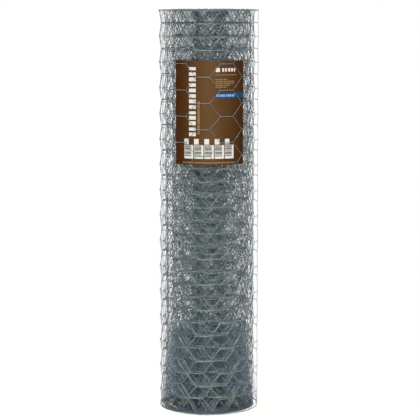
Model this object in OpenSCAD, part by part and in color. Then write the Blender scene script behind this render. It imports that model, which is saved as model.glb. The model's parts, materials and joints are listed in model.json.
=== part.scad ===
// Roll of hexagonal wire netting, standing on its end, with a printed label under its loose last turn.
// The wound netting is one turned solid, and its turns show as rings on both ends.
// Millimetres. Z points up, and the origin is at the middle of the end that the roll stands on.

/* [Roll] */
// Height of the standing roll, which is the width that the netting is woven at
roll_height = 1200; // [700:10:2000]
// Outside diameter over the loose last turn
roll_diameter = 299; // [240:1:420]
// Diameter of the open bore that the winding bar leaves
bore_diameter = 56; // [30:1:100]

/* [Turns] */
// Distance from one packed turn to the next
turn_pitch = 2.5; // [2.2:0.1:8]
// Thickness of the edge wires that each turn shows on the ends
edge_thickness = 1.4; // [0.8:0.1:2]
// Thickness of the netting where two of its wires are twisted together
netting_thickness = 2.5; // [1.6:0.1:5]
// Open space between the loose last turn and the packed turns inside it
loose_gap = 9; // [4:0.5:20]
// Depth of the grooves between the turns
groove_depth = 6; // [1:0.5:30]

/* [Label] */
// Width of the label, measured round the roll
label_width = 216; // [100:1:300]
// Height of the label
label_height = 304; // [100:1:450]
// Thickness of the label's card
label_thickness = 0.4; // [0.2:0.1:1.5]
// Distance from the top of the roll down to the label's upper edge
label_drop = 146; // [60:1:220]
// Angle from the front of the roll round to the middle of the label, in degrees
label_angle = 1.3; // [-30:0.1:30]
// Space in front of the label and behind it
label_clearance = 0.3; // [0.1:0.1:1]
// Width of the opening left in the last turn all round the label's edges
label_margin = 3; // [1:0.5:10]

/* [Hidden] */
$fn = 96;

// Angle of the front of the roll, which faces along the negative Y axis
front_angle = -90;
// How far a cutting shape runs out past the face that it opens
cut_overrun = 2;

roll_radius = roll_diameter / 2;
bore_radius = bore_diameter / 2;
loose_radius = roll_radius - edge_thickness;
packed_radius = loose_radius - loose_gap;
turn_count = floor((packed_radius - bore_radius - edge_thickness) / turn_pitch) + 1;
turn_step = (packed_radius - bore_radius - edge_thickness) / (turn_count - 1);

label_radius = roll_radius - netting_thickness - label_clearance - label_thickness;
pocket_radius = label_radius - label_clearance;
label_top = roll_height - label_drop;
label_bottom = label_top - label_height;

zinc_grey = [0.46, 0.51, 0.52];
card_brown = [0.36, 0.21, 0.10];

// Angle that a length measured round the roll takes up at a radius
function arc_angle(length, radius) = length / radius * 180 / PI;

// Inner radius of a packed turn, where turn 0 lines the bore
function turn_radius(turn) = bore_radius + turn * turn_step;

// Outline points that run over one packed turn and the groove outside it
function turn_points(turn, face, floor_level, next_radius) = [
    [turn_radius(turn), face],
    [turn_radius(turn) + edge_thickness, face],
    [turn_radius(turn) + edge_thickness, floor_level],
    [next_radius, floor_level],
];

// Radius at which the groove outside a turn ends
function groove_end(turn) = turn < turn_count - 1 ? turn_radius(turn + 1) : loose_radius;

// Outline of one end from the bore out to the outside face, with a groove after each packed turn
function end_points(face, floor_level) = concat(
    [for (turn = [0 : turn_count - 1]) each turn_points(turn, face, floor_level, groove_end(turn))],
    [[loose_radius, face], [roll_radius, face]]
);

// Points in the opposite order
function reversed(points) = [for (i = [len(points) - 1 : -1 : 0]) points[i]];

// Half section of the whole roll, to be turned round the Z axis
module roll_section() {
    polygon(concat(
        end_points(0, groove_depth),
        reversed(end_points(roll_height, roll_height - groove_depth))
    ));
}

// Part of a tube that is centred on the label, from an inner radius outwards
module label_sector(inner_radius, wall, width, bottom, height) {
    sweep = arc_angle(width, inner_radius);
    rotate([0, 0, front_angle + label_angle - sweep / 2])
        rotate_extrude(angle = sweep)
            translate([inner_radius, bottom])
                square([wall, height]);
}

// Wound netting, opened where the label shows through the wires of the last turn
module netting_roll() {
    color(zinc_grey)
        difference() {
            rotate_extrude() roll_section();
            label_sector(
                pocket_radius,
                roll_radius - pocket_radius + cut_overrun,
                label_width + 2 * label_margin,
                label_bottom - label_margin,
                label_height + 2 * label_margin
            );
        }
}

// Printed card that lies just under the wires of the last turn
module label() {
    color(card_brown)
        label_sector(label_radius, label_thickness, label_width, label_bottom, label_height);
}

netting_roll();
label();
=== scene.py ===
"""Looks of a standing roll of hexagonal wire netting, with a printed card under its loose last turn.

Metres, with Z up. The roll stands on the origin, and its label faces along -Y. Angles round the roll start
at the front and grow towards +X.
"""

import json
import logging
import math
from contextlib import contextmanager
from dataclasses import dataclass, field
from enum import Enum
from typing import ClassVar, Iterator, Sequence

import bpy
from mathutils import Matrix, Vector


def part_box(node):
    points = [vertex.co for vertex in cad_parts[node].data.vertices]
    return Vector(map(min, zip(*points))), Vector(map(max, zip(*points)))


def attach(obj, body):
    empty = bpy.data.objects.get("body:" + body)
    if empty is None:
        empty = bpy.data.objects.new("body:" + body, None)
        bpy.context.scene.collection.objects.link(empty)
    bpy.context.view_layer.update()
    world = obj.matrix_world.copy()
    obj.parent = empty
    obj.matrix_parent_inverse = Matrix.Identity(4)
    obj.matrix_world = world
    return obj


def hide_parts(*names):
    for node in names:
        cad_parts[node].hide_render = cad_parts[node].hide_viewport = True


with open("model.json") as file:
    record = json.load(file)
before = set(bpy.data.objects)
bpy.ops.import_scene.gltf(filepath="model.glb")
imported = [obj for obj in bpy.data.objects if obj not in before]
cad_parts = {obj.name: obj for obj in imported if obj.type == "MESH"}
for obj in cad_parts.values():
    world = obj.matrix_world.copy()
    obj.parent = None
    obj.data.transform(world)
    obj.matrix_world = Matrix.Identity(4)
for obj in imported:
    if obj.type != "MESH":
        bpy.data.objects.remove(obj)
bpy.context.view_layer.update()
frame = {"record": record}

LOG = logging.getLogger("netting_roll")
ROOT_BODY = "root"
ROLL_NODE = "netting_roll"
LABEL_NODE = "label"
WIRE_SLOT = "zinc_wire"
CARD_SLOT = "printed_card"
BORE_MOUNT = "bore"
PRINT_MAP = "print"

MM = 0.001
FULL_TURN = 2 * math.pi
QUARTER_TURN = math.pi / 2
# Points closer than this become one.
WELD_DISTANCE = 0.004 * MM
# The card's back is mapped this far to the left of its print.
BACK_SHIFT = 1.0
# A face of the flat card is part of its back if more than this of its normal points back.
BACK_FACING = 0.5

Piece = bpy.types.Object
Material = bpy.types.Material
Group = bpy.types.NodeTree
Socket = bpy.types.NodeSocket
Colour = tuple[float, float, float, float]
Place = tuple[float, float, float]
Span = tuple[float, float]
Course = tuple[tuple[float, float], ...]


# Hand tools


def select_only(*pieces: Piece) -> None:
    """Select some pieces and nothing else.

    Args:
        pieces: The pieces. The last one becomes the active one.
    """
    bpy.ops.object.select_all(action="DESELECT")
    for piece in pieces:
        piece.select_set(True)
    bpy.context.view_layer.objects.active = pieces[-1]


@contextmanager
def edit_mode(piece: Piece) -> Iterator[None]:
    """Keep a piece in edit mode for the length of a with block, at first with all of it selected.

    Args:
        piece: The piece.
    """
    select_only(piece)
    bpy.ops.object.mode_set(mode="EDIT")
    try:
        bpy.ops.mesh.select_all(action="SELECT")
        yield
    finally:
        bpy.ops.object.mode_set(mode="OBJECT")


def apply_modifiers(piece: Piece) -> None:
    """Apply every modifier of a piece, in order.

    Args:
        piece: The piece.
    """
    select_only(piece)
    for modifier in list(piece.modifiers):
        bpy.ops.object.modifier_apply(modifier=modifier.name)


def bake_place(piece: Piece) -> Piece:
    """Move a piece's place, turn and size into its mesh.

    Args:
        piece: The piece.

    Returns:
        The same piece.
    """
    select_only(piece)
    bpy.ops.object.transform_apply(location=True, rotation=True, scale=True)
    return piece


def discard(piece: Piece) -> None:
    """Delete a helper object."""
    bpy.data.objects.remove(piece, do_unlink=True)


def named(piece: Piece, name: str) -> Piece:
    """Name a piece and its mesh."""
    piece.name = piece.data.name = name
    return piece


def copy_of(piece: Piece, name: str) -> Piece:
    """Copy a piece with its own mesh.

    Args:
        piece: The piece to copy.
        name: Name of the copy.

    Returns:
        The copy.
    """
    select_only(piece)
    bpy.ops.object.duplicate(linked=False)
    return named(bpy.context.active_object, name)


def joined(pieces: Sequence[Piece], name: str) -> Piece:
    """Join pieces into one.

    Args:
        pieces: The pieces, of which the last one takes in the others.
        name: Name of the whole.

    Returns:
        The whole.
    """
    select_only(*pieces)
    bpy.ops.object.join()
    return named(bpy.context.active_object, name)


def moved(piece: Piece, step: Vector) -> Piece:
    """Move a piece's mesh by a step and leave its object at the origin."""
    piece.location = step
    return bake_place(piece)


def half_turned(piece: Piece) -> Piece:
    """Turn a piece's mesh half round about the X axis."""
    piece.rotation_euler = (math.pi, 0, 0)
    return bake_place(piece)


def repeat(piece: Piece, count: int, step: Vector) -> None:
    """Repeat a piece's mesh in a row and weld each copy to the one before.

    Args:
        piece: The piece to repeat.
        count: How many there are in the end.
        step: Move from one copy to the next.
    """
    row = piece.modifiers.new("row", "ARRAY")
    row.count = count
    row.use_relative_offset = False
    row.use_constant_offset = True
    row.constant_offset_displace = step
    row.use_merge_vertices = True
    row.merge_threshold = WELD_DISTANCE
    apply_modifiers(piece)


def bend(piece: Piece, guide: Piece) -> None:
    """Apply a flat piece's modifiers, and bend its X axis along a guide."""
    piece.modifiers.new("bend", "CURVE").object = guide
    apply_modifiers(piece)


def new_guide(name: str, points: Sequence[Vector]) -> Piece:
    """Make a curve that a flat piece can be bent along.

    Args:
        name: Name of the curve.
        points: Points of the curve.

    Returns:
        The curve.
    """
    curve = bpy.data.curves.new(name, "CURVE")
    curve.dimensions = "3D"
    curve.twist_mode = "Z_UP"
    spline = curve.splines.new("POLY")
    spline.points.add(len(points) - 1)
    for spot, point in zip(spline.points, points):
        spot.co = (*point, 1)
    guide = bpy.data.objects.new(name, curve)
    bpy.context.collection.objects.link(guide)
    return guide


def new_ring(sides: int, diameter: float, place: Vector, slope: float = 0) -> Piece:
    """Start a wire with the ring of points at its end.

    Args:
        sides: Sides of the wire.
        diameter: Diameter of the wire.
        place: Middle of the ring.
        slope: Angle at which the wire rises as it sets off along X.

    Returns:
        The ring.
    """
    bpy.ops.object.select_all(action="DESELECT")
    bpy.ops.mesh.primitive_circle_add(
        vertices=sides, radius=diameter / 2, location=place, rotation=(0, QUARTER_TURN - slope, 0)
    )
    return bake_place(bpy.context.active_object)


def extrude(step: Vector) -> None:
    """Extrude what is selected in edit mode by a step."""
    bpy.ops.mesh.extrude_region_move(TRANSFORM_OT_translate={"value": step})


def turn_about_y(angle: float, centre: Vector) -> None:
    """Turn what is selected in edit mode about Y, with a positive angle lifting +X towards +Z."""
    bpy.ops.transform.rotate(value=angle, orient_axis="Y", orient_type="GLOBAL", center_override=centre)


def face_outwards() -> None:
    """Point all faces of the mesh in edit mode outwards."""
    bpy.ops.mesh.select_all(action="SELECT")
    bpy.ops.mesh.normals_make_consistent(inside=False)


def round_roll(radius: float, angle: float) -> Vector:
    """Point at a radius and an angle round the roll, on the floor."""
    return Vector((radius * math.sin(angle), -radius * math.cos(angle), 0))


def eased(value: float, start: float, end: float) -> float:
    """Share of the way from start to end, with a soft start and a soft end."""
    share = min(max((value - start) / (end - start), 0), 1)
    return share * share * (3 - 2 * share)


def in_mm(*stops: tuple[float, float]) -> Course:
    """Course of stops whose values are given in millimetres."""
    return tuple((place, value * MM) for place, value in stops)


def value_at(course: Course, place: float) -> float:
    """Read a course that runs straight from stop to stop and stays level outside them.

    Args:
        course: The stops, each a place and the value there.
        place: The place to read.

    Returns:
        The value at that place.
    """
    for (start, low), (end, high) in zip(course, course[1:]):
        if place < end:
            return low + (high - low) * max(place - start, 0) / (end - start)
    return course[-1][1]


@dataclass
class SubAssembly:
    """Pieces that stand for one CAD node together and share one finish.

    Attributes:
        node: The CAD node.
        slot: The record's material slot for it.
        pieces: The finished pieces.
    """

    node: ClassVar[str]
    slot: ClassVar[str]
    pieces: list[Piece] = field(default_factory=list, init=False)

    def dress(self, material: Material) -> None:
        """Give every piece its material, hang it on the body it rides on, and hide the CAD part it stands for.

        Args:
            material: Material of the pieces.
        """
        for piece in self.pieces:
            piece.data.materials.clear()
            piece.data.materials.append(material)
            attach(piece, ROOT_BODY)
            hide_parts(self.node)


# Netting


@dataclass(frozen=True)
class WireDetail:
    """How finely a stretch of netting is modelled.

    Attributes:
        sides: Sides of a wire.
        twists: Whole turns that two wires make round each other.
        rings: Rings of points along each of those turns.
    """

    sides: int
    twists: int
    rings: int


class Detail(Enum):
    """Levels of detail, from the wires that show to those deep inside the roll."""

    SHOWN = WireDetail(sides=6, twists=2, rings=8)
    NEAR = WireDetail(sides=4, twists=2, rings=4)
    DEEP = WireDetail(sides=3, twists=1, rings=3)


@dataclass(frozen=True)
class Weave:
    """Flat web of hexagonal netting, with its length along X and its width along Z.

    Attributes:
        width: Width of the web, from edge to edge.
        rows: Spaces between the rows of twists.
        period: Length from one twist to the next in the same row.
        twist_length: Length of a twist.
        wire: Diameter of the netting wire.
        edge_wire: Diameter of the wire along each edge.
        edge_rings: Rings of points along an edge wire for each period.
        play: Part of a wire's diameter by which twisted wires stand apart.
        foot: How much further the lower edge is from its row than the rows are from each other.
    """

    width: float
    rows: int = 31
    period: float = 143 * MM
    twist_length: float = 41 * MM
    wire: float = 1.24 * MM
    edge_wire: float = 1.6 * MM
    edge_rings: int = 12
    play: float = 0.04
    foot: float = 7 * MM

    @property
    def edge_reach(self) -> float:
        """Distance from the middle of an edge wire to the outside of the wire wound on it."""
        return self.edge_wire / 2 + self.wire

    @property
    def row_step(self) -> float:
        """Distance from one row of twists to the next."""
        return (self.width - 2 * self.edge_reach - self.foot) / self.rows

    def row_height(self, row: int) -> float:
        """Height of a row of twists, where row 0 is the lower edge."""
        return self.edge_reach + (self.foot if row else 0) + row * self.row_step

    def model_strand(self, offset: float, detail: WireDetail, further: float = 0) -> Piece:
        """Model one wire of a twist: up from the row below, round its neighbour, and down again.

        Args:
            offset: Distance from the middle of the twist to the middle of this wire.
            detail: How finely it is modelled.
            further: How much longer its arms are than half the way to the row below.

        Returns:
            An open tube whose twist is centred on the origin.
        """
        arm_foot = Vector((-self.period / 4, 0, -self.row_step / 2 - further))
        twist_start = Vector((-self.twist_length / 2, 0, -offset))
        arm = twist_start - arm_foot
        slope = math.atan2(arm.z, arm.x)
        steps = detail.twists * detail.rings
        strand = new_ring(detail.sides, self.wire, arm_foot, slope)
        with edit_mode(strand):
            here = arm_foot
            for step in range(steps + 1):
                phase = FULL_TURN * detail.twists * step / steps
                reach = self.twist_length * (step / steps - 0.5)
                there = Vector((reach, -offset * math.sin(phase), -offset * math.cos(phase)))
                extrude(there - here)
                if step <= 1 or step == steps:
                    turn_about_y(-slope / 2, there)
                here = there
            foot = Vector((-arm_foot.x, 0, arm_foot.z))
            extrude(foot - here)
            turn_about_y(-slope / 2, foot)
            face_outwards()
        return strand

    def model_knot(self, detail: WireDetail) -> Piece:
        """Model two wires twisted together, with the half arms that run up and down from them."""
        lower = self.model_strand(self.wire / 2 * (1 + self.play), detail)
        return joined((lower, half_turned(copy_of(lower, "upper_strand"))), "knot")

    def model_edge(self, height: float, detail: WireDetail) -> Piece:
        """Model one period of the straight wire along an edge of the web.

        Args:
            height: Height of the wire's middle.
            detail: How finely it is modelled.

        Returns:
            An open tube along X.
        """
        edge = new_ring(detail.sides, self.edge_wire, Vector((-self.period / 4, 0, height)))
        with edit_mode(edge):
            for _ in range(self.edge_rings):
                extrude(Vector((self.period / self.edge_rings, 0, 0)))
            face_outwards()
        return edge

    def model_period(self, detail: WireDetail) -> Piece:
        """Model one period of the web over its whole width, edges included.

        Args:
            detail: How finely it is modelled.

        Returns:
            The period, which welds to its own copy at both ends.
        """
        half_period = Vector((self.period / 2, 0, 0))
        two_rows = Vector((0, 0, 2 * self.row_step))
        rows_each = (self.rows - 1) // 2
        knot = self.model_knot(detail)
        first = moved(copy_of(knot, "first_rows"), Vector((0, 0, self.row_height(1))))
        second = moved(knot, half_period + Vector((0, 0, self.row_height(2))))
        for rows in (first, second):
            repeat(rows, rows_each, two_rows)
        wrap_offset = (self.wire + self.edge_wire) / 2 * (1 + self.play)
        top_wrap = self.model_strand(wrap_offset, detail)
        foot_wrap = half_turned(self.model_strand(wrap_offset, detail, self.foot))
        moved(top_wrap, Vector((0, 0, self.row_height(self.rows))))
        moved(foot_wrap, half_period + Vector((0, 0, self.row_height(0))))
        edges = [self.model_edge(self.row_height(row), detail) for row in (0, self.rows)]
        period = joined([*edges, top_wrap, foot_wrap, second, first], "web_period")
        with edit_mode(period):
            bpy.ops.mesh.remove_doubles(threshold=WELD_DISTANCE)
        return period


@dataclass(frozen=True)
class Winding:
    """Spiral that the web follows, from the bore out to its loose end behind the roll.

    Turns are counted inwards from the loose end. The last turn stands off from some loose turns, and these
    stand off from the rest, which lie closer together towards the bore.

    Attributes:
        outer_radius: Radius of the web's middle at the loose end.
        bore_radius: Radius of the web's middle where it lines the bore.
        end_angle: Angle of the loose end.
        sags: How far the web lies inside the loose end, at numbers of turns in, up to the close turns.
        leans: How far a turn stands towards +X, at numbers of turns in. It fades from the last of them on.
        close_step: Distance from one close turn to the next at their outside.
        tight_step: Distance from one close turn to the next at the bore.
        points_per_turn: Points of the spiral for each turn.
    """

    outer_radius: float
    bore_radius: float
    end_angle: float = math.radians(228)
    sags: Course = in_mm(
        (0, 0), (0.76, 0.02), (0.9, 0.8), (1.4, 8.5), (2, 9.5), (3, 12.2), (5.5, 16.8), (8, 21.9), (10.5, 26.6),
        (11.2, 32.3), (16.6, 40.3), (22.8, 50), (38, 92),
    )
    leans: Course = in_mm(
        (0.9, 0), (1.4, -3.8), (1.9, -5), (3, -2.6), (5.5, -0.5), (8, 0.6), (10.5, -0.2), (11.2, 3.5), (16, 3.5)
    )
    close_step: float = 1.3 * MM
    tight_step: float = 0.6 * MM
    points_per_turn: int = 96

    @property
    def loose_turns(self) -> float:
        """Turns from the loose end in to the close ones."""
        return self.sags[-1][0]

    @property
    def tightening(self) -> float:
        """How much closer the turns get for each metre towards the bore."""
        return (self.close_step - self.tight_step) / (self.outer_radius - self.sags[-1][1] - self.bore_radius)

    @property
    def turns(self) -> float:
        """How many turns the web makes."""
        return self.loose_turns + math.log(self.close_step / self.tight_step) / self.tightening

    def radius_at(self, turns_in: float) -> float:
        """Work out the radius of the web's middle, without its lean.

        Args:
            turns_in: Number of turns in from the loose end.

        Returns:
            The radius.
        """
        if turns_in < self.loose_turns:
            return self.outer_radius - value_at(self.sags, turns_in)
        growth = math.exp(self.tightening * (self.turns - turns_in)) - 1
        return self.bore_radius + self.tight_step / self.tightening * growth

    def point_at(self, turns_in: float) -> Vector:
        """Work out a point of the spiral.

        Args:
            turns_in: Number of turns in from the loose end.

        Returns:
            The point, on the floor.
        """
        angle = self.end_angle - FULL_TURN * turns_in
        lean = value_at((*self.leans, (self.turns, 0)), turns_in)
        return round_roll(self.radius_at(turns_in) + lean * math.sin(angle), angle)

    def points(self, last: float = 0) -> list[Vector]:
        """Points of the spiral from the bore outwards, up to a number of turns in from the loose end."""
        count = round((self.turns - last) * self.points_per_turn)
        return [self.point_at(self.turns + (last - self.turns) * i / count) for i in range(count + 1)]

    def length_to(self, last: float) -> float:
        """Length of the web from the bore up to a number of turns in from the loose end."""
        points = self.points(last)
        return sum((b - a).length for a, b in zip(points, points[1:]))


@dataclass(frozen=True)
class Stretch:
    """Part of the web that is one piece of the model.

    Attributes:
        name: Name of the piece.
        periods: How many periods of the web it holds at most.
        detail: How finely it is modelled.
    """

    name: str
    periods: int
    detail: Detail


@dataclass(frozen=True)
class Stray:
    """One way in which a flat piece strays from its place.

    Attributes:
        name: Name of the modifier, and of the vertex group that limits it if there is one.
        direction: Direction that the piece strays in.
        strength: How far it strays.
        size: Size of the stretches that stray as one.
    """

    name: str
    direction: str
    strength: float
    size: float

    def add_to(self, piece: Piece) -> None:
        """Add the modifier, not yet applied.

        Args:
            piece: The flat piece.
        """
        texture = bpy.data.textures.new(self.name, "CLOUDS")
        texture.cloud_type = "COLOR"
        texture.noise_scale = self.size
        texture.noise_depth = 0
        shift = piece.modifiers.new(self.name, "DISPLACE")
        shift.texture = texture
        shift.texture_coords = "LOCAL"
        shift.direction = self.direction
        shift.strength = self.strength
        if self.name in piece.vertex_groups:
            shift.vertex_group = self.name


@dataclass
class NettingRoll(SubAssembly):
    """The wound web of netting, from its loose last turn in to the turn that lines the bore.

    Attributes:
        radius: Outside radius of the roll.
        height: Height of the roll.
        bore: Radius of the bore.
        anchor_angle: Angle at which a twist of the top row stands on the loose turn.
        slack: How the wires stray from their places.
        drift: How the mesh of the inner turns is drawn out or pushed together along the web.
        drift_start: Lengths of web in from the loose end over which drift and wandering set in.
        wander: How the rows of the inner turns wander up and down.
        wander_start: Distances in from the top and the lower edge over which the wandering sets in.
        most_sides: Most sides of a wire's end that is closed.
        stretches: The pieces, from the outside in. The last one takes what is left.
    """

    node: ClassVar[str] = ROLL_NODE
    slot: ClassVar[str] = WIRE_SLOT
    radius: float
    height: float
    bore: float
    anchor_angle: float = math.radians(21)
    slack: Stray = Stray("slack", "RGB_TO_XYZ", strength=0.25 * MM, size=90 * MM)
    drift: Stray = Stray("drift", "X", strength=200 * MM, size=900 * MM)
    drift_start: Span = (4.0, 6.0)
    wander: Stray = Stray("wander", "Z", strength=60 * MM, size=1500 * MM)
    wander_start: Span = (10 * MM, 160 * MM)
    most_sides: int = 8
    stretches: tuple[Stretch, ...] = (
        Stretch("loose_turn", 8, Detail.SHOWN),
        Stretch("outer_turns", 36, Detail.NEAR),
        Stretch("second_turns", 36, Detail.NEAR),
        Stretch("third_turns", 45, Detail.DEEP),
        Stretch("inner_turns", 50, Detail.DEEP),
        Stretch("core_turns", 50, Detail.DEEP),
    )

    def __post_init__(self) -> None:
        """Work out the weave and the spiral from the sizes."""
        self.weave = Weave(self.height)
        self.winding = Winding(outer_radius=self.radius - self.weave.wire, bore_radius=self.bore + self.weave.wire)

    @property
    def web_end(self) -> float:
        """Work out where the next twist after the web's last period would be, with one at the anchor.

        Returns:
            Its length of web from the bore.
        """
        anchor = self.winding.length_to((self.winding.end_angle - self.anchor_angle) / FULL_TURN)
        free = self.winding.length_to(0) - anchor
        periods_after = int((free - 3 * self.weave.period / 4) / self.weave.period)
        return anchor + (periods_after + 1) * self.weave.period

    def build(self) -> None:
        """Model every stretch of the web and wind it up."""
        guide = new_guide("winding_guide", self.winding.points())
        end = self.web_end
        left = int((end - self.weave.period / 4) / self.weave.period)
        details = dict.fromkeys(stretch.detail for stretch in self.stretches)
        periods = {detail: self.weave.model_period(detail.value) for detail in details}
        for stretch in self.stretches:
            count = left if stretch is self.stretches[-1] else min(stretch.periods, left)
            left -= count
            end -= count * self.weave.period
            if count:
                self.pieces.append(self.wind(copy_of(periods[stretch.detail], stretch.name), end, count, guide))
        for helper in (guide, *periods.values()):
            discard(helper)

    def wind(self, piece: Piece, start: float, count: int, guide: Piece) -> Piece:
        """Repeat one period of the web, close its wires' ends and wind it along the spiral.

        Args:
            piece: One flat period of the web.
            start: Length of web from the bore to the first twist of the piece.
            count: How many periods the piece holds.
            guide: The spiral.

        Returns:
            The same piece, wound.
        """
        repeat(piece, count, Vector((self.weave.period, 0, 0)))
        moved(piece, Vector((start, 0, 0)))
        with edit_mode(piece):
            bpy.ops.mesh.fill_holes(sides=self.most_sides)
        self.mark_strays(piece)
        for stray in (self.slack, self.drift, self.wander):
            stray.add_to(piece)
        bend(piece, guide)
        select_only(piece)
        bpy.ops.object.shade_smooth()
        return piece

    def mark_strays(self, piece: Piece) -> None:
        """Weigh the points of a flat piece by how far they drift and wander.

        Args:
            piece: The flat piece.
        """
        length = self.winding.length_to(0)
        drift = piece.vertex_groups.new(name=self.drift.name)
        wander = piece.vertex_groups.new(name=self.wander.name)
        for vertex in piece.data.vertices:
            share = eased(length - vertex.co.x, *self.drift_start)
            held = eased(min(vertex.co.z, self.height - vertex.co.z), *self.wander_start)
            drift.add([vertex.index], share, "REPLACE")
            wander.add([vertex.index], share * held, "REPLACE")


# Card


@dataclass
class CardLabel(SubAssembly):
    """Printed card held under the wires of the loose turn.

    Attributes:
        low: Lowest corner of the card's box.
        high: Highest corner of the card's box.
        thickness: Thickness of the card.
        columns: Faces across the card.
        ranks: Faces up the card.
        swell: How far the card bulges inwards behind the wires that hold it.
        swell_size: Size of the bulges.
        crease: Angle above which an edge stays sharp.
    """

    node: ClassVar[str] = LABEL_NODE
    slot: ClassVar[str] = CARD_SLOT
    low: Vector
    high: Vector
    thickness: float = 0.4 * MM
    columns: int = 54
    ranks: int = 76
    swell: float = 0.5 * MM
    swell_size: float = 110 * MM
    crease: float = math.radians(40)

    @property
    def radius(self) -> float:
        """Radius of the middle of the card's thickness."""
        return -self.low.y - self.thickness / 2

    @property
    def start_angle(self) -> float:
        """Angle of the card's left edge."""
        return math.asin(self.low.x / -self.low.y)

    @property
    def sweep(self) -> float:
        """Angle from the card's left edge to its right edge."""
        return math.asin(self.high.x / -self.low.y) - self.start_angle

    @property
    def width(self) -> float:
        """Width of the card, measured round the roll."""
        return self.sweep * self.radius

    @property
    def height(self) -> float:
        """Height of the card."""
        return self.high.z - self.low.z

    def build(self) -> None:
        """Model the card flat, map its print, bend it round the roll and lift it to its place."""
        card = self.model_flat()
        self.map_print(card)
        angles = [self.start_angle + self.sweep * i / self.columns for i in range(self.columns + 1)]
        guide = new_guide("card_guide", [round_roll(self.radius, angle) for angle in angles])
        bend(card, guide)
        discard(guide)
        moved(card, Vector((0, 0, self.low.z)))
        select_only(card)
        bpy.ops.object.shade_smooth_by_angle(angle=self.crease)
        self.pieces.append(card)

    def model_flat(self) -> Piece:
        """Model the card flat, with its bulges and its thickness.

        Returns:
            The card, which stands on X with its front towards -Y.
        """
        bpy.ops.object.select_all(action="DESELECT")
        bpy.ops.mesh.primitive_grid_add(
            x_subdivisions=self.columns,
            y_subdivisions=self.ranks,
            size=1,
            location=(self.width / 2, 0, self.height / 2),
            rotation=(QUARTER_TURN, 0, 0),
        )
        card = named(bpy.context.active_object, "label_card")
        card.scale = (self.width, self.height, 1)
        bake_place(card)
        bulges = bpy.data.textures.new("bulges", "CLOUDS")
        bulges.noise_scale = self.swell_size
        swell = card.modifiers.new("swell", "DISPLACE")
        swell.texture = bulges
        swell.texture_coords = "LOCAL"
        swell.direction = "Y"
        swell.strength = self.swell
        swell.mid_level = 0
        wall = card.modifiers.new("wall", "SOLIDIFY")
        wall.thickness = self.thickness
        wall.offset = 0
        apply_modifiers(card)
        return card

    @staticmethod
    def map_print(card: Piece) -> None:
        """Map the print in metres from the card's lower left corner, and the plain back clear of it.

        Args:
            card: The flat card.
        """
        chart = card.data.uv_layers.active or card.data.uv_layers.new(name=PRINT_MAP)
        chart.name = PRINT_MAP
        for face in card.data.polygons:
            shift = BACK_SHIFT if face.normal.y > BACK_FACING else 0
            for index in face.loop_indices:
                place = card.data.vertices[card.data.loops[index].vertex_index].co
                chart.data[index].uv = (place.x - shift, place.z)


# Finishes


class NodeBoard:
    """Adds and links the nodes of one tree."""

    def __init__(self, tree: bpy.types.NodeTree) -> None:
        """Start on an empty tree."""
        self.tree = tree
        tree.nodes.clear()

    def add(self, kind: str, **values: object) -> bpy.types.Node:
        """Add a node.

        Args:
            kind: The node's type, without its ShaderNode prefix.
            values: Properties of the node, and then links and values for inputs named in_NAME or in_NUMBER.

        Returns:
            The node.
        """
        node = self.tree.nodes.new(kind if kind.startswith("Node") else f"ShaderNode{kind}")
        for key, value in values.items():
            name = key.removeprefix("in_")
            if name == key:
                setattr(node, key, value)
            else:
                self.feed(node.inputs[int(name) if name.isdigit() else name.replace("_", " ")], value)
        return node

    def feed(self, socket: Socket, value: object) -> None:
        """Link an output to a socket, or set the socket's own value.

        Args:
            socket: The socket.
            value: The output or the value.
        """
        if isinstance(value, bpy.types.NodeSocket):
            self.tree.links.new(value, socket)
        else:
            socket.default_value = value

    def math(self, operation: str, *values: object) -> Socket:
        """Add a maths node.

        Args:
            operation: What it works out.
            values: What it works on, in order.

        Returns:
            Its result.
        """
        node = self.add("Math", operation=operation)
        for socket, value in zip(node.inputs, values):
            self.feed(socket, value)
        return node.outputs[0]

    def fade(self, distance: object, reach: float) -> Socket:
        """Fall from 1 at no distance to 0 at a reach, and go on below it."""
        return self.math("SUBTRACT", 1, self.math("DIVIDE", distance, reach))

    def blend(self, share: object, low: object, high: object) -> Socket:
        """Mix two colours, from all of the first at a share of 0 to all of the second at 1."""
        return self.add("Mix", data_type="RGBA", in_0=share, in_6=low, in_7=high).outputs[2]

    def bumps(self, height: Socket, strength: float, depth: float) -> Socket:
        """Make bumps of a height from 0 to 1 and return their normal."""
        return self.add("Bump", in_Height=height, in_Strength=strength, in_Distance=depth).outputs[0]

    def spread(self, value: object, low: float, high: float) -> Socket:
        """Spread a value from 0 to 1 over a range."""
        return self.add("MapRange", in_Value=value, in_To_Min=low, in_To_Max=high).outputs["Result"]


def new_group(name: str, *takes: str, gives: str) -> tuple[Group, NodeBoard]:
    """Start a shader group.

    Args:
        name: The group's name.
        takes: Its inputs, which are plain values apart from one called Vector.
        gives: Its output, which is a plain value.

    Returns:
        The group and the board that fills it.
    """
    tree = bpy.data.node_groups.new(name, "ShaderNodeTree")
    for label in takes:
        kind = "NodeSocketVector" if label == "Vector" else "NodeSocketFloat"
        tree.interface.new_socket(label, in_out="INPUT", socket_type=kind)
    tree.interface.new_socket(gives, in_out="OUTPUT", socket_type="NodeSocketFloat")
    return tree, NodeBoard(tree)


def new_material(name: str) -> tuple[Material, NodeBoard]:
    """Start a material with nodes.

    Args:
        name: The material's name.

    Returns:
        The material and the board that fills it.
    """
    material = bpy.data.materials.new(name)
    material.use_nodes = True
    return material, NodeBoard(material.node_tree)


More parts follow.
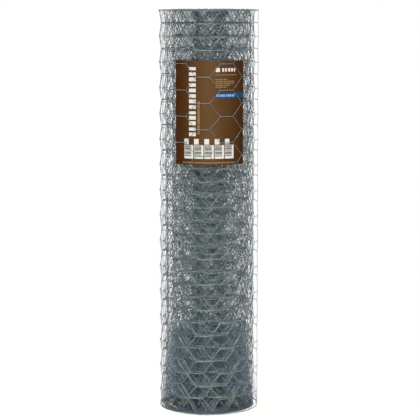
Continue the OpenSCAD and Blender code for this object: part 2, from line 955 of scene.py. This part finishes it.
class SharedEffects:
    """Shader groups that the finishes share, each built once."""

    MOTTLE_DETAIL = 3.0

    def __init__(self) -> None:
        """Build every group."""
        self.mottle = self.build_mottle()
        self.block = self.build_block()
        self.bars = self.build_bars()

    def build_mottle(self) -> Group:
        """Build soft irregular patches of a chosen size and contrast.

        Returns:
            The group.
        """
        tree, board = new_group("surface_mottle", "Vector", "Scale", "Low", "High", gives="Patches")
        source = board.add("NodeGroupInput").outputs
        vector, scale = source["Vector"], source["Scale"]
        noise = board.add("TexNoise", in_Vector=vector, in_Scale=scale, in_Detail=self.MOTTLE_DETAIL)
        patches = board.add(
            "MapRange",
            interpolation_type="SMOOTHSTEP",
            in_Value=noise.outputs[0],
            in_From_Min=source["Low"],
            in_From_Max=source["High"],
        )
        board.add("NodeGroupOutput", in_Patches=patches.outputs[0])
        return tree

    @staticmethod
    def build_block() -> Group:
        """Build the mask of one printed block, in metres on the card.

        Returns:
            The group.
        """
        tree, board = new_group("print_block", "U", "V", "Left", "Foot", "Width", "Height", gives="Mask")
        source = board.add("NodeGroupInput").outputs
        sides = []
        for place, start, size in (("U", "Left", "Width"), ("V", "Foot", "Height")):
            inside = board.math("SUBTRACT", source[place], source[start])
            after = board.math("GREATER_THAN", inside, 0.0)
            before = board.math("LESS_THAN", inside, source[size])
            sides.append(board.math("MULTIPLY", after, before))
        board.add("NodeGroupOutput", in_Mask=board.math("MULTIPLY", *sides))
        return tree

    @staticmethod
    def build_bars() -> Group:
        """Build a run of bars whose widths vary.

        Returns:
            The group.
        """
        tree, board = new_group("print_bars", "Along", "Pitch", "Fill", "Variation", gives="Mask")
        source = board.add("NodeGroupInput").outputs
        count = board.math("DIVIDE", source["Along"], source["Pitch"])
        whole = board.math("FLOOR", count)
        chance = board.add("TexWhiteNoise", noise_dimensions="1D", in_W=whole).outputs["Value"]
        change = board.math("MULTIPLY", board.math("SUBTRACT", chance, 0.5), source["Variation"])
        fill = board.math("ADD", source["Fill"], change)
        mask = board.math("LESS_THAN", board.math("SUBTRACT", count, whole), fill)
        board.add("NodeGroupOutput", in_Mask=mask)
        return tree


@dataclass(frozen=True)
class Mottle:
    """Values for one use of the shared mottle.

    Attributes:
        scale: Patches in a metre, roughly.
        low: Noise up to which there is no patch.
        high: Noise from which on the patch is full.
    """

    scale: float
    low: float
    high: float

    def place(self, board: NodeBoard, effects: SharedEffects, spot: Socket) -> Socket:
        """Place the shared mottle in a material, on the coordinates of a spot."""
        values = {"in_Scale": self.scale, "in_Low": self.low, "in_High": self.high}
        return board.add("Group", node_tree=effects.mottle, in_Vector=spot, **values).outputs[0]


@dataclass(frozen=True)
class ZincFinish:
    """Dull galvanised wire with a faint spangle, patches of pale bloom, and painted shade on both edges of the web.

    Attributes:
        height: Height of the roll.
        bright: Colour of clean zinc.
        dull: Colour of weathered zinc.
        bloom: Colour of the pale bloom.
        painted_edge_shade: Colour of the painted shade that darkens the wires near the floor and the top edge.
        painted_edge_shade_cover: Share of the painted shade's colour where it is deepest.
        foot_reach: How far the painted shade reaches up from the floor.
        rim_reach: How far the painted shade reaches down from the top edge.
        spangle_mottle: Grains of the spangle.
        spangle_bumps: Strength and depth of the spangle's bumps.
        spangle_rough: Roughness of weathered and clean zinc.
        bloom_mottle: Patches of the bloom.
        bloom_rough: Roughness added by no bloom and full bloom.
        metallic: How metallic bare zinc and full bloom are.
    """

    height: float
    bright: Colour = (0.30, 0.36, 0.365, 1)
    dull: Colour = (0.162, 0.20, 0.205, 1)
    bloom: Colour = (0.335, 0.39, 0.39, 1)
    painted_edge_shade: Colour = (0.088, 0.120, 0.145, 1)
    painted_edge_shade_cover: float = 0.9
    foot_reach: float = 25 * MM
    rim_reach: float = 6 * MM
    spangle_mottle: Mottle = Mottle(scale=260.0, low=0.35, high=0.65)
    spangle_bumps: Span = (0.25, 0.2 * MM)
    spangle_rough: Span = (0.50, 0.34)
    bloom_mottle: Mottle = Mottle(scale=34.0, low=0.52, high=0.78)
    bloom_rough: Span = (0.0, 0.22)
    metallic: Span = (0.6, 0.25)

    def build(self, effects: SharedEffects) -> Material:
        """Build the material.

        Args:
            effects: The shared shader groups.

        Returns:
            The material.
        """
        material, board = new_material(WIRE_SLOT)
        place = board.add("TexCoord").outputs["Object"]
        spangle = self.spangle_mottle.place(board, effects, place)
        bloom = self.bloom_mottle.place(board, effects, place)
        clean = board.blend(bloom, board.blend(spangle, self.dull, self.bright), self.bloom)
        rise = board.add("SeparateXYZ", in_Vector=place).outputs["Z"]
        # Painted shade: the wires are painted darker towards the floor and towards the top edge.
        foot = board.fade(rise, self.foot_reach)
        rim = board.fade(board.math("SUBTRACT", self.height, rise), self.rim_reach)
        painted_edge_shade = board.spread(board.math("MAXIMUM", foot, rim), 0.0, self.painted_edge_shade_cover)
        rough = board.math("ADD", board.spread(spangle, *self.spangle_rough), board.spread(bloom, *self.bloom_rough))
        shader = board.add(
            "BsdfPrincipled",
            in_Base_Color=board.blend(painted_edge_shade, clean, self.painted_edge_shade),
            in_Metallic=board.spread(bloom, *self.metallic),
            in_Roughness=rough,
            in_Normal=board.bumps(spangle, *self.spangle_bumps),
        )
        board.add("OutputMaterial", in_Surface=shader.outputs[0])
        return material


class Ink(Enum):
    """Inks of the print."""

    WHITE = (0.92, 0.85, 0.70, 1)
    TAN = (0.36, 0.22, 0.11, 1)
    BLUE = (0.006, 0.085, 0.19, 1)
    PALE_BLUE = (0.30, 0.52, 0.80, 1)
    GREY = (0.07, 0.075, 0.08, 1)


class Run(Enum):
    """Ways in which a block is cut into bars, each with the map's axis that they follow."""

    PLAIN = ""
    ACROSS = "X"
    UP = "Y"


@dataclass(frozen=True)
class PrintBlock:
    """One block of the print, in millimetres from the card's lower left corner.

    Attributes:
        left: Its left side.
        foot: Its lower side.
        width: Its width.
        height: Its height.
        ink: Its ink.
        run: How it is cut into bars.
        pitch: Distance from one bar to the next.
        fill: Share of the pitch that a bar fills.
        variation: How much that share varies from bar to bar.
    """

    left: float
    foot: float
    width: float
    height: float
    ink: Ink
    run: Run = Run.PLAIN
    pitch: float = 1
    fill: float = 1
    variation: float = 0

    def place(self, board: NodeBoard, effects: SharedEffects, spot: bpy.types.NodeOutputs) -> Socket:
        """Place the block's mask in a material, cut into bars where it has them.

        Args:
            board: The material's board.
            effects: The shared shader groups.
            spot: The place on the card's map, in its parts.

        Returns:
            The mask.
        """
        sizes = {"Left": self.left, "Foot": self.foot, "Width": self.width, "Height": self.height}
        values = {f"in_{name}": size * MM for name, size in sizes.items()}
        area = board.add("Group", node_tree=effects.block, in_U=spot["X"], in_V=spot["Y"], **values).outputs[0]
        if self.run is Run.PLAIN:
            return area
        start = (self.left if self.run is Run.ACROSS else self.foot) * MM
        bars = board.add(
            "Group",
            node_tree=effects.bars,
            in_Along=board.math("SUBTRACT", spot[self.run.value], start),
            in_Pitch=self.pitch * MM,
            in_Fill=self.fill,
            in_Variation=self.variation,
        )
        return board.math("MULTIPLY", area, bars.outputs[0])


def print_layout() -> list[PrintBlock]:
    """List the blocks of the print in the order in which they are laid down.

    Returns:
        The blocks.
    """
    top_line, line_step, line_widths = 248, 5.6, (36, 58, 58, 45, 34)
    first_panel, panel_step, panel_count = 31, 30.6, 5
    layout = [
        PrintBlock(46, 84, 21, 206, Ink.WHITE, Run.UP, pitch=16, fill=0.64, variation=0.2),
        PrintBlock(72, 90, 7, 96, Ink.TAN, Run.UP, pitch=6, fill=0.7, variation=0.4),
        PrintBlock(126, 271, 12, 12, Ink.WHITE),
        PrintBlock(145, 272, 46, 10, Ink.WHITE, Run.ACROSS, pitch=9.2, fill=0.62, variation=0.2),
        PrintBlock(124, 261.5, 67, 2, Ink.TAN),
        PrintBlock(123, 195, 93, 15, Ink.BLUE),
        PrintBlock(127, 199, 57, 7, Ink.PALE_BLUE, Run.ACROSS, pitch=6, fill=0.7, variation=0.3),
        PrintBlock(26, 4.5, 160, 3.5, Ink.TAN, Run.ACROSS, pitch=7, fill=0.8, variation=0.3),
    ]
    for line, width in enumerate(line_widths):
        foot = top_line - line_step * line
        layout.append(PrintBlock(125, foot, width, 3, Ink.TAN, Run.ACROSS, pitch=5, fill=0.8, variation=0.35))
    for panel in range(panel_count):
        left = first_panel + panel_step * panel
        layout += (
            PrintBlock(left, 60, 14, 16, Ink.WHITE),
            PrintBlock(left, 18, 28, 40, Ink.WHITE),
            PrintBlock(left + 1, 25, 21, 32, Ink.GREY, Run.UP, pitch=3.3, fill=0.58, variation=0.5),
        )
    return layout


@dataclass(frozen=True)
class CardFinish:
    """Glossy brown card with a print of plain blocks, a painted sheen on its ground, and an unprinted back.

    Attributes:
        width: Width of the card.
        ground: Colour of the ground in the middle, with the painted sheen in it.
        painted_side_shade: Colour of the ground towards both sides, where the painted sheen gives way to painted
            shade.
        painted_sheen_reach: How far in from the sides the ground is painted darker.
        shade_mottle: How much the patches shift the painted side shade.
        back: Colour of the unprinted back.
        back_shade: Colour of the darker patches on the back.
        patches: Faint patches all over.
        grain: Grain of the card.
        grain_bumps: Strength and depth of the grain's bumps.
        rough: Roughness between and on the patches.
        shine: Specular level of the varnish.
    """

    width: float
    ground: Colour = (0.155, 0.075, 0.025, 1)
    painted_side_shade: Colour = (0.064, 0.018, 0.001, 1)
    painted_sheen_reach: float = 98 * MM
    shade_mottle: Span = (-0.12, 0.0)
    back: Colour = (0.52, 0.49, 0.43, 1)
    back_shade: Colour = (0.44, 0.41, 0.35, 1)
    patches: Mottle = Mottle(scale=18.0, low=0.3, high=0.7)
    grain: Mottle = Mottle(scale=900.0, low=0.3, high=0.7)
    grain_bumps: Span = (0.08, 0.1 * MM)
    rough: Span = (0.34, 0.42)
    shine: float = 0.06

    def build(self, effects: SharedEffects) -> Material:
        """Build the material.

        Args:
            effects: The shared shader groups.

        Returns:
            The material.
        """
        material, board = new_material(CARD_SLOT)
        chart = board.add("UVMap", uv_map=PRINT_MAP).outputs[0]
        spot = board.add("SeparateXYZ", in_Vector=chart).outputs
        patches = self.patches.place(board, effects, chart)
        # Painted sheen: the ground is painted lighter in the middle and darker towards both sides.
        beside = board.math("MINIMUM", spot["X"], board.math("SUBTRACT", self.width, spot["X"]))
        inward = board.math("MINIMUM", board.math("DIVIDE", beside, self.painted_sheen_reach), 1)
        uneven = board.math("ADD", inward, board.spread(patches, *self.shade_mottle))
        colour = board.blend(board.math("MAXIMUM", uneven, 0), self.painted_side_shade, self.ground)
        for block in print_layout():
            colour = board.blend(block.place(board, effects, spot), colour, block.ink.value)
        on_back = board.math("LESS_THAN", spot["X"], -BACK_SHIFT / 2)
        shader = board.add(
            "BsdfPrincipled",
            in_Base_Color=board.blend(on_back, colour, board.blend(patches, self.back_shade, self.back)),
            in_Roughness=board.spread(patches, *self.rough),
            in_Specular_IOR_Level=self.shine,
            in_Normal=board.bumps(self.grain.place(board, effects, chart), *self.grain_bumps),
        )
        board.add("OutputMaterial", in_Surface=shader.outputs[0])
        return material


# Studio


@dataclass(frozen=True)
class Lamp:
    """Soft light from the camera's side.

    Attributes:
        name: Name of the light.
        rise: Angle of the light above the floor.
        softness: Angle that the light takes up in the sky.
        strength: Strength of the light.
    """

    name: str
    rise: float
    softness: float
    strength: float

    def hang(self) -> None:
        """Hang the light."""
        data = bpy.data.lights.new(self.name, "SUN")
        data.energy = self.strength
        data.angle = self.softness
        light = bpy.data.objects.new(self.name, data)
        light.rotation_euler = (QUARTER_TURN - self.rise, 0, 0)
        bpy.context.collection.objects.link(light)


@dataclass(frozen=True)
class Studio:
    """Pale floor, soft light and the camera.

    Attributes:
        camera_place: Place of the camera.
        aim: Point that the camera aims at.
        lens: Focal length in millimetres.
        sensor: Width of the sensor in millimetres.
        view_depth: How far the camera sees.
        floor_size: Side of the floor.
        floor_plain: Colour of the floor for the light that it gives back.
        floor_shown: Colour of the floor as it is seen, which is white under these lights.
        backdrop: Colour behind the floor.
        lamps: The lights.
        sky: Colour of the light from all round.
        sky_level: Strength of the light from all round.
    """

    camera_place: Place = (0, -5.0466, 1.2774)
    aim: Place = (0.0042, 0, 0.5976)
    lens: float = 144.46
    sensor: float = 36.0
    view_depth: float = 100.0
    floor_size: float = 30.0
    floor_plain: Colour = (0.66, 0.68, 0.70, 1)
    floor_shown: Colour = (1.62, 1.53, 1.33, 1)
    backdrop: Colour = (1, 1, 1, 1)
    lamps: tuple[Lamp, ...] = (
        Lamp("key_light", rise=math.radians(48), softness=math.radians(1.2), strength=2.2),
        Lamp("fill_light", rise=math.radians(15), softness=math.radians(12), strength=0.8),
    )
    sky: Colour = (0.24, 0.45, 1.0, 1)
    sky_level: float = 0.18

    def build(self) -> None:
        """Set up the camera, the floor, the lights and the world."""
        self.build_camera()
        self.build_floor()
        for lamp in self.lamps:
            lamp.hang()
        self.build_world()
        bpy.context.scene.view_settings.view_transform = "Standard"

    def build_camera(self) -> None:
        """Place the camera in front of the roll."""
        data = bpy.data.cameras.new("camera")
        data.sensor_width = self.sensor
        data.lens = self.lens
        data.clip_end = self.view_depth
        camera = bpy.data.objects.new("camera", data)
        camera.location = self.camera_place
        sight = Vector(self.aim) - camera.location
        camera.rotation_euler = sight.to_track_quat("-Z", "Y").to_euler()
        bpy.context.collection.objects.link(camera)
        bpy.context.scene.camera = camera

    def build_floor(self) -> None:
        """Lay a pale floor that shows white but keeps the roll's shadow."""
        bpy.ops.object.select_all(action="DESELECT")
        bpy.ops.mesh.primitive_plane_add(size=self.floor_size)
        floor = named(bpy.context.active_object, "floor")
        material, board = new_material("pale_floor")
        plain = board.add("BsdfDiffuse", in_Color=self.floor_plain)
        shown = board.add("BsdfDiffuse", in_Color=self.floor_shown)
        board.add("OutputMaterial", in_Surface=self.mix_by_view(board, plain, shown))
        floor.data.materials.append(material)

    def build_world(self) -> None:
        """Light the roll from all round, with white behind it."""
        world = bpy.data.worlds.new("studio")
        world.use_nodes = True
        bpy.context.scene.world = world
        board = NodeBoard(world.node_tree)
        around = board.add("Background", in_Color=self.sky, in_Strength=self.sky_level)
        white = board.add("Background", in_Color=self.backdrop, in_Strength=1.0)
        board.add("OutputWorld", in_Surface=self.mix_by_view(board, around, white))

    @staticmethod
    def mix_by_view(board: NodeBoard, unseen: bpy.types.Node, seen: bpy.types.Node) -> Socket:
        """Show one shader to the camera and in mirrors, and light the scene by another.

        Args:
            board: The board that the shaders are on.
            unseen: Shader that lights the scene.
            seen: Shader that is seen.

        Returns:
            The two in one.
        """
        path = board.add("LightPath").outputs
        mirror = board.math("MAXIMUM", path["Is Glossy Ray"], path["Is Transmission Ray"])
        direct = board.math("MAXIMUM", path["Is Camera Ray"], mirror)
        return board.add("MixShader", in_0=direct, in_1=unseen.outputs[0], in_2=seen.outputs[0]).outputs[0]


def main() -> None:
    """Build the studio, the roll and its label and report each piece."""
    logging.basicConfig(level=logging.INFO, format="%(name)s: %(message)s")
    roll_low, roll_high = (Vector(corner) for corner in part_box(ROLL_NODE))
    card_low, card_high = (Vector(corner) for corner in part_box(LABEL_NODE))
    bore = next(mount for mount in frame["record"]["mounts"] if mount["name"] == BORE_MOUNT)
    height = roll_high.z - roll_low.z
    Studio().build()
    effects = SharedEffects()
    roll = NettingRoll(radius=roll_high.x, height=height, bore=bore["dims"]["r_mm"] * MM)
    label = CardLabel(card_low, card_high)
    for assembly, finish in ((roll, ZincFinish(height)), (label, CardFinish(label.width))):
        assembly.build()
        assembly.dress(finish.build(effects))
        for piece in assembly.pieces:
            LOG.info("%s: %d faces", piece.name, len(piece.data.polygons))


if __name__ == "__main__":
    main()
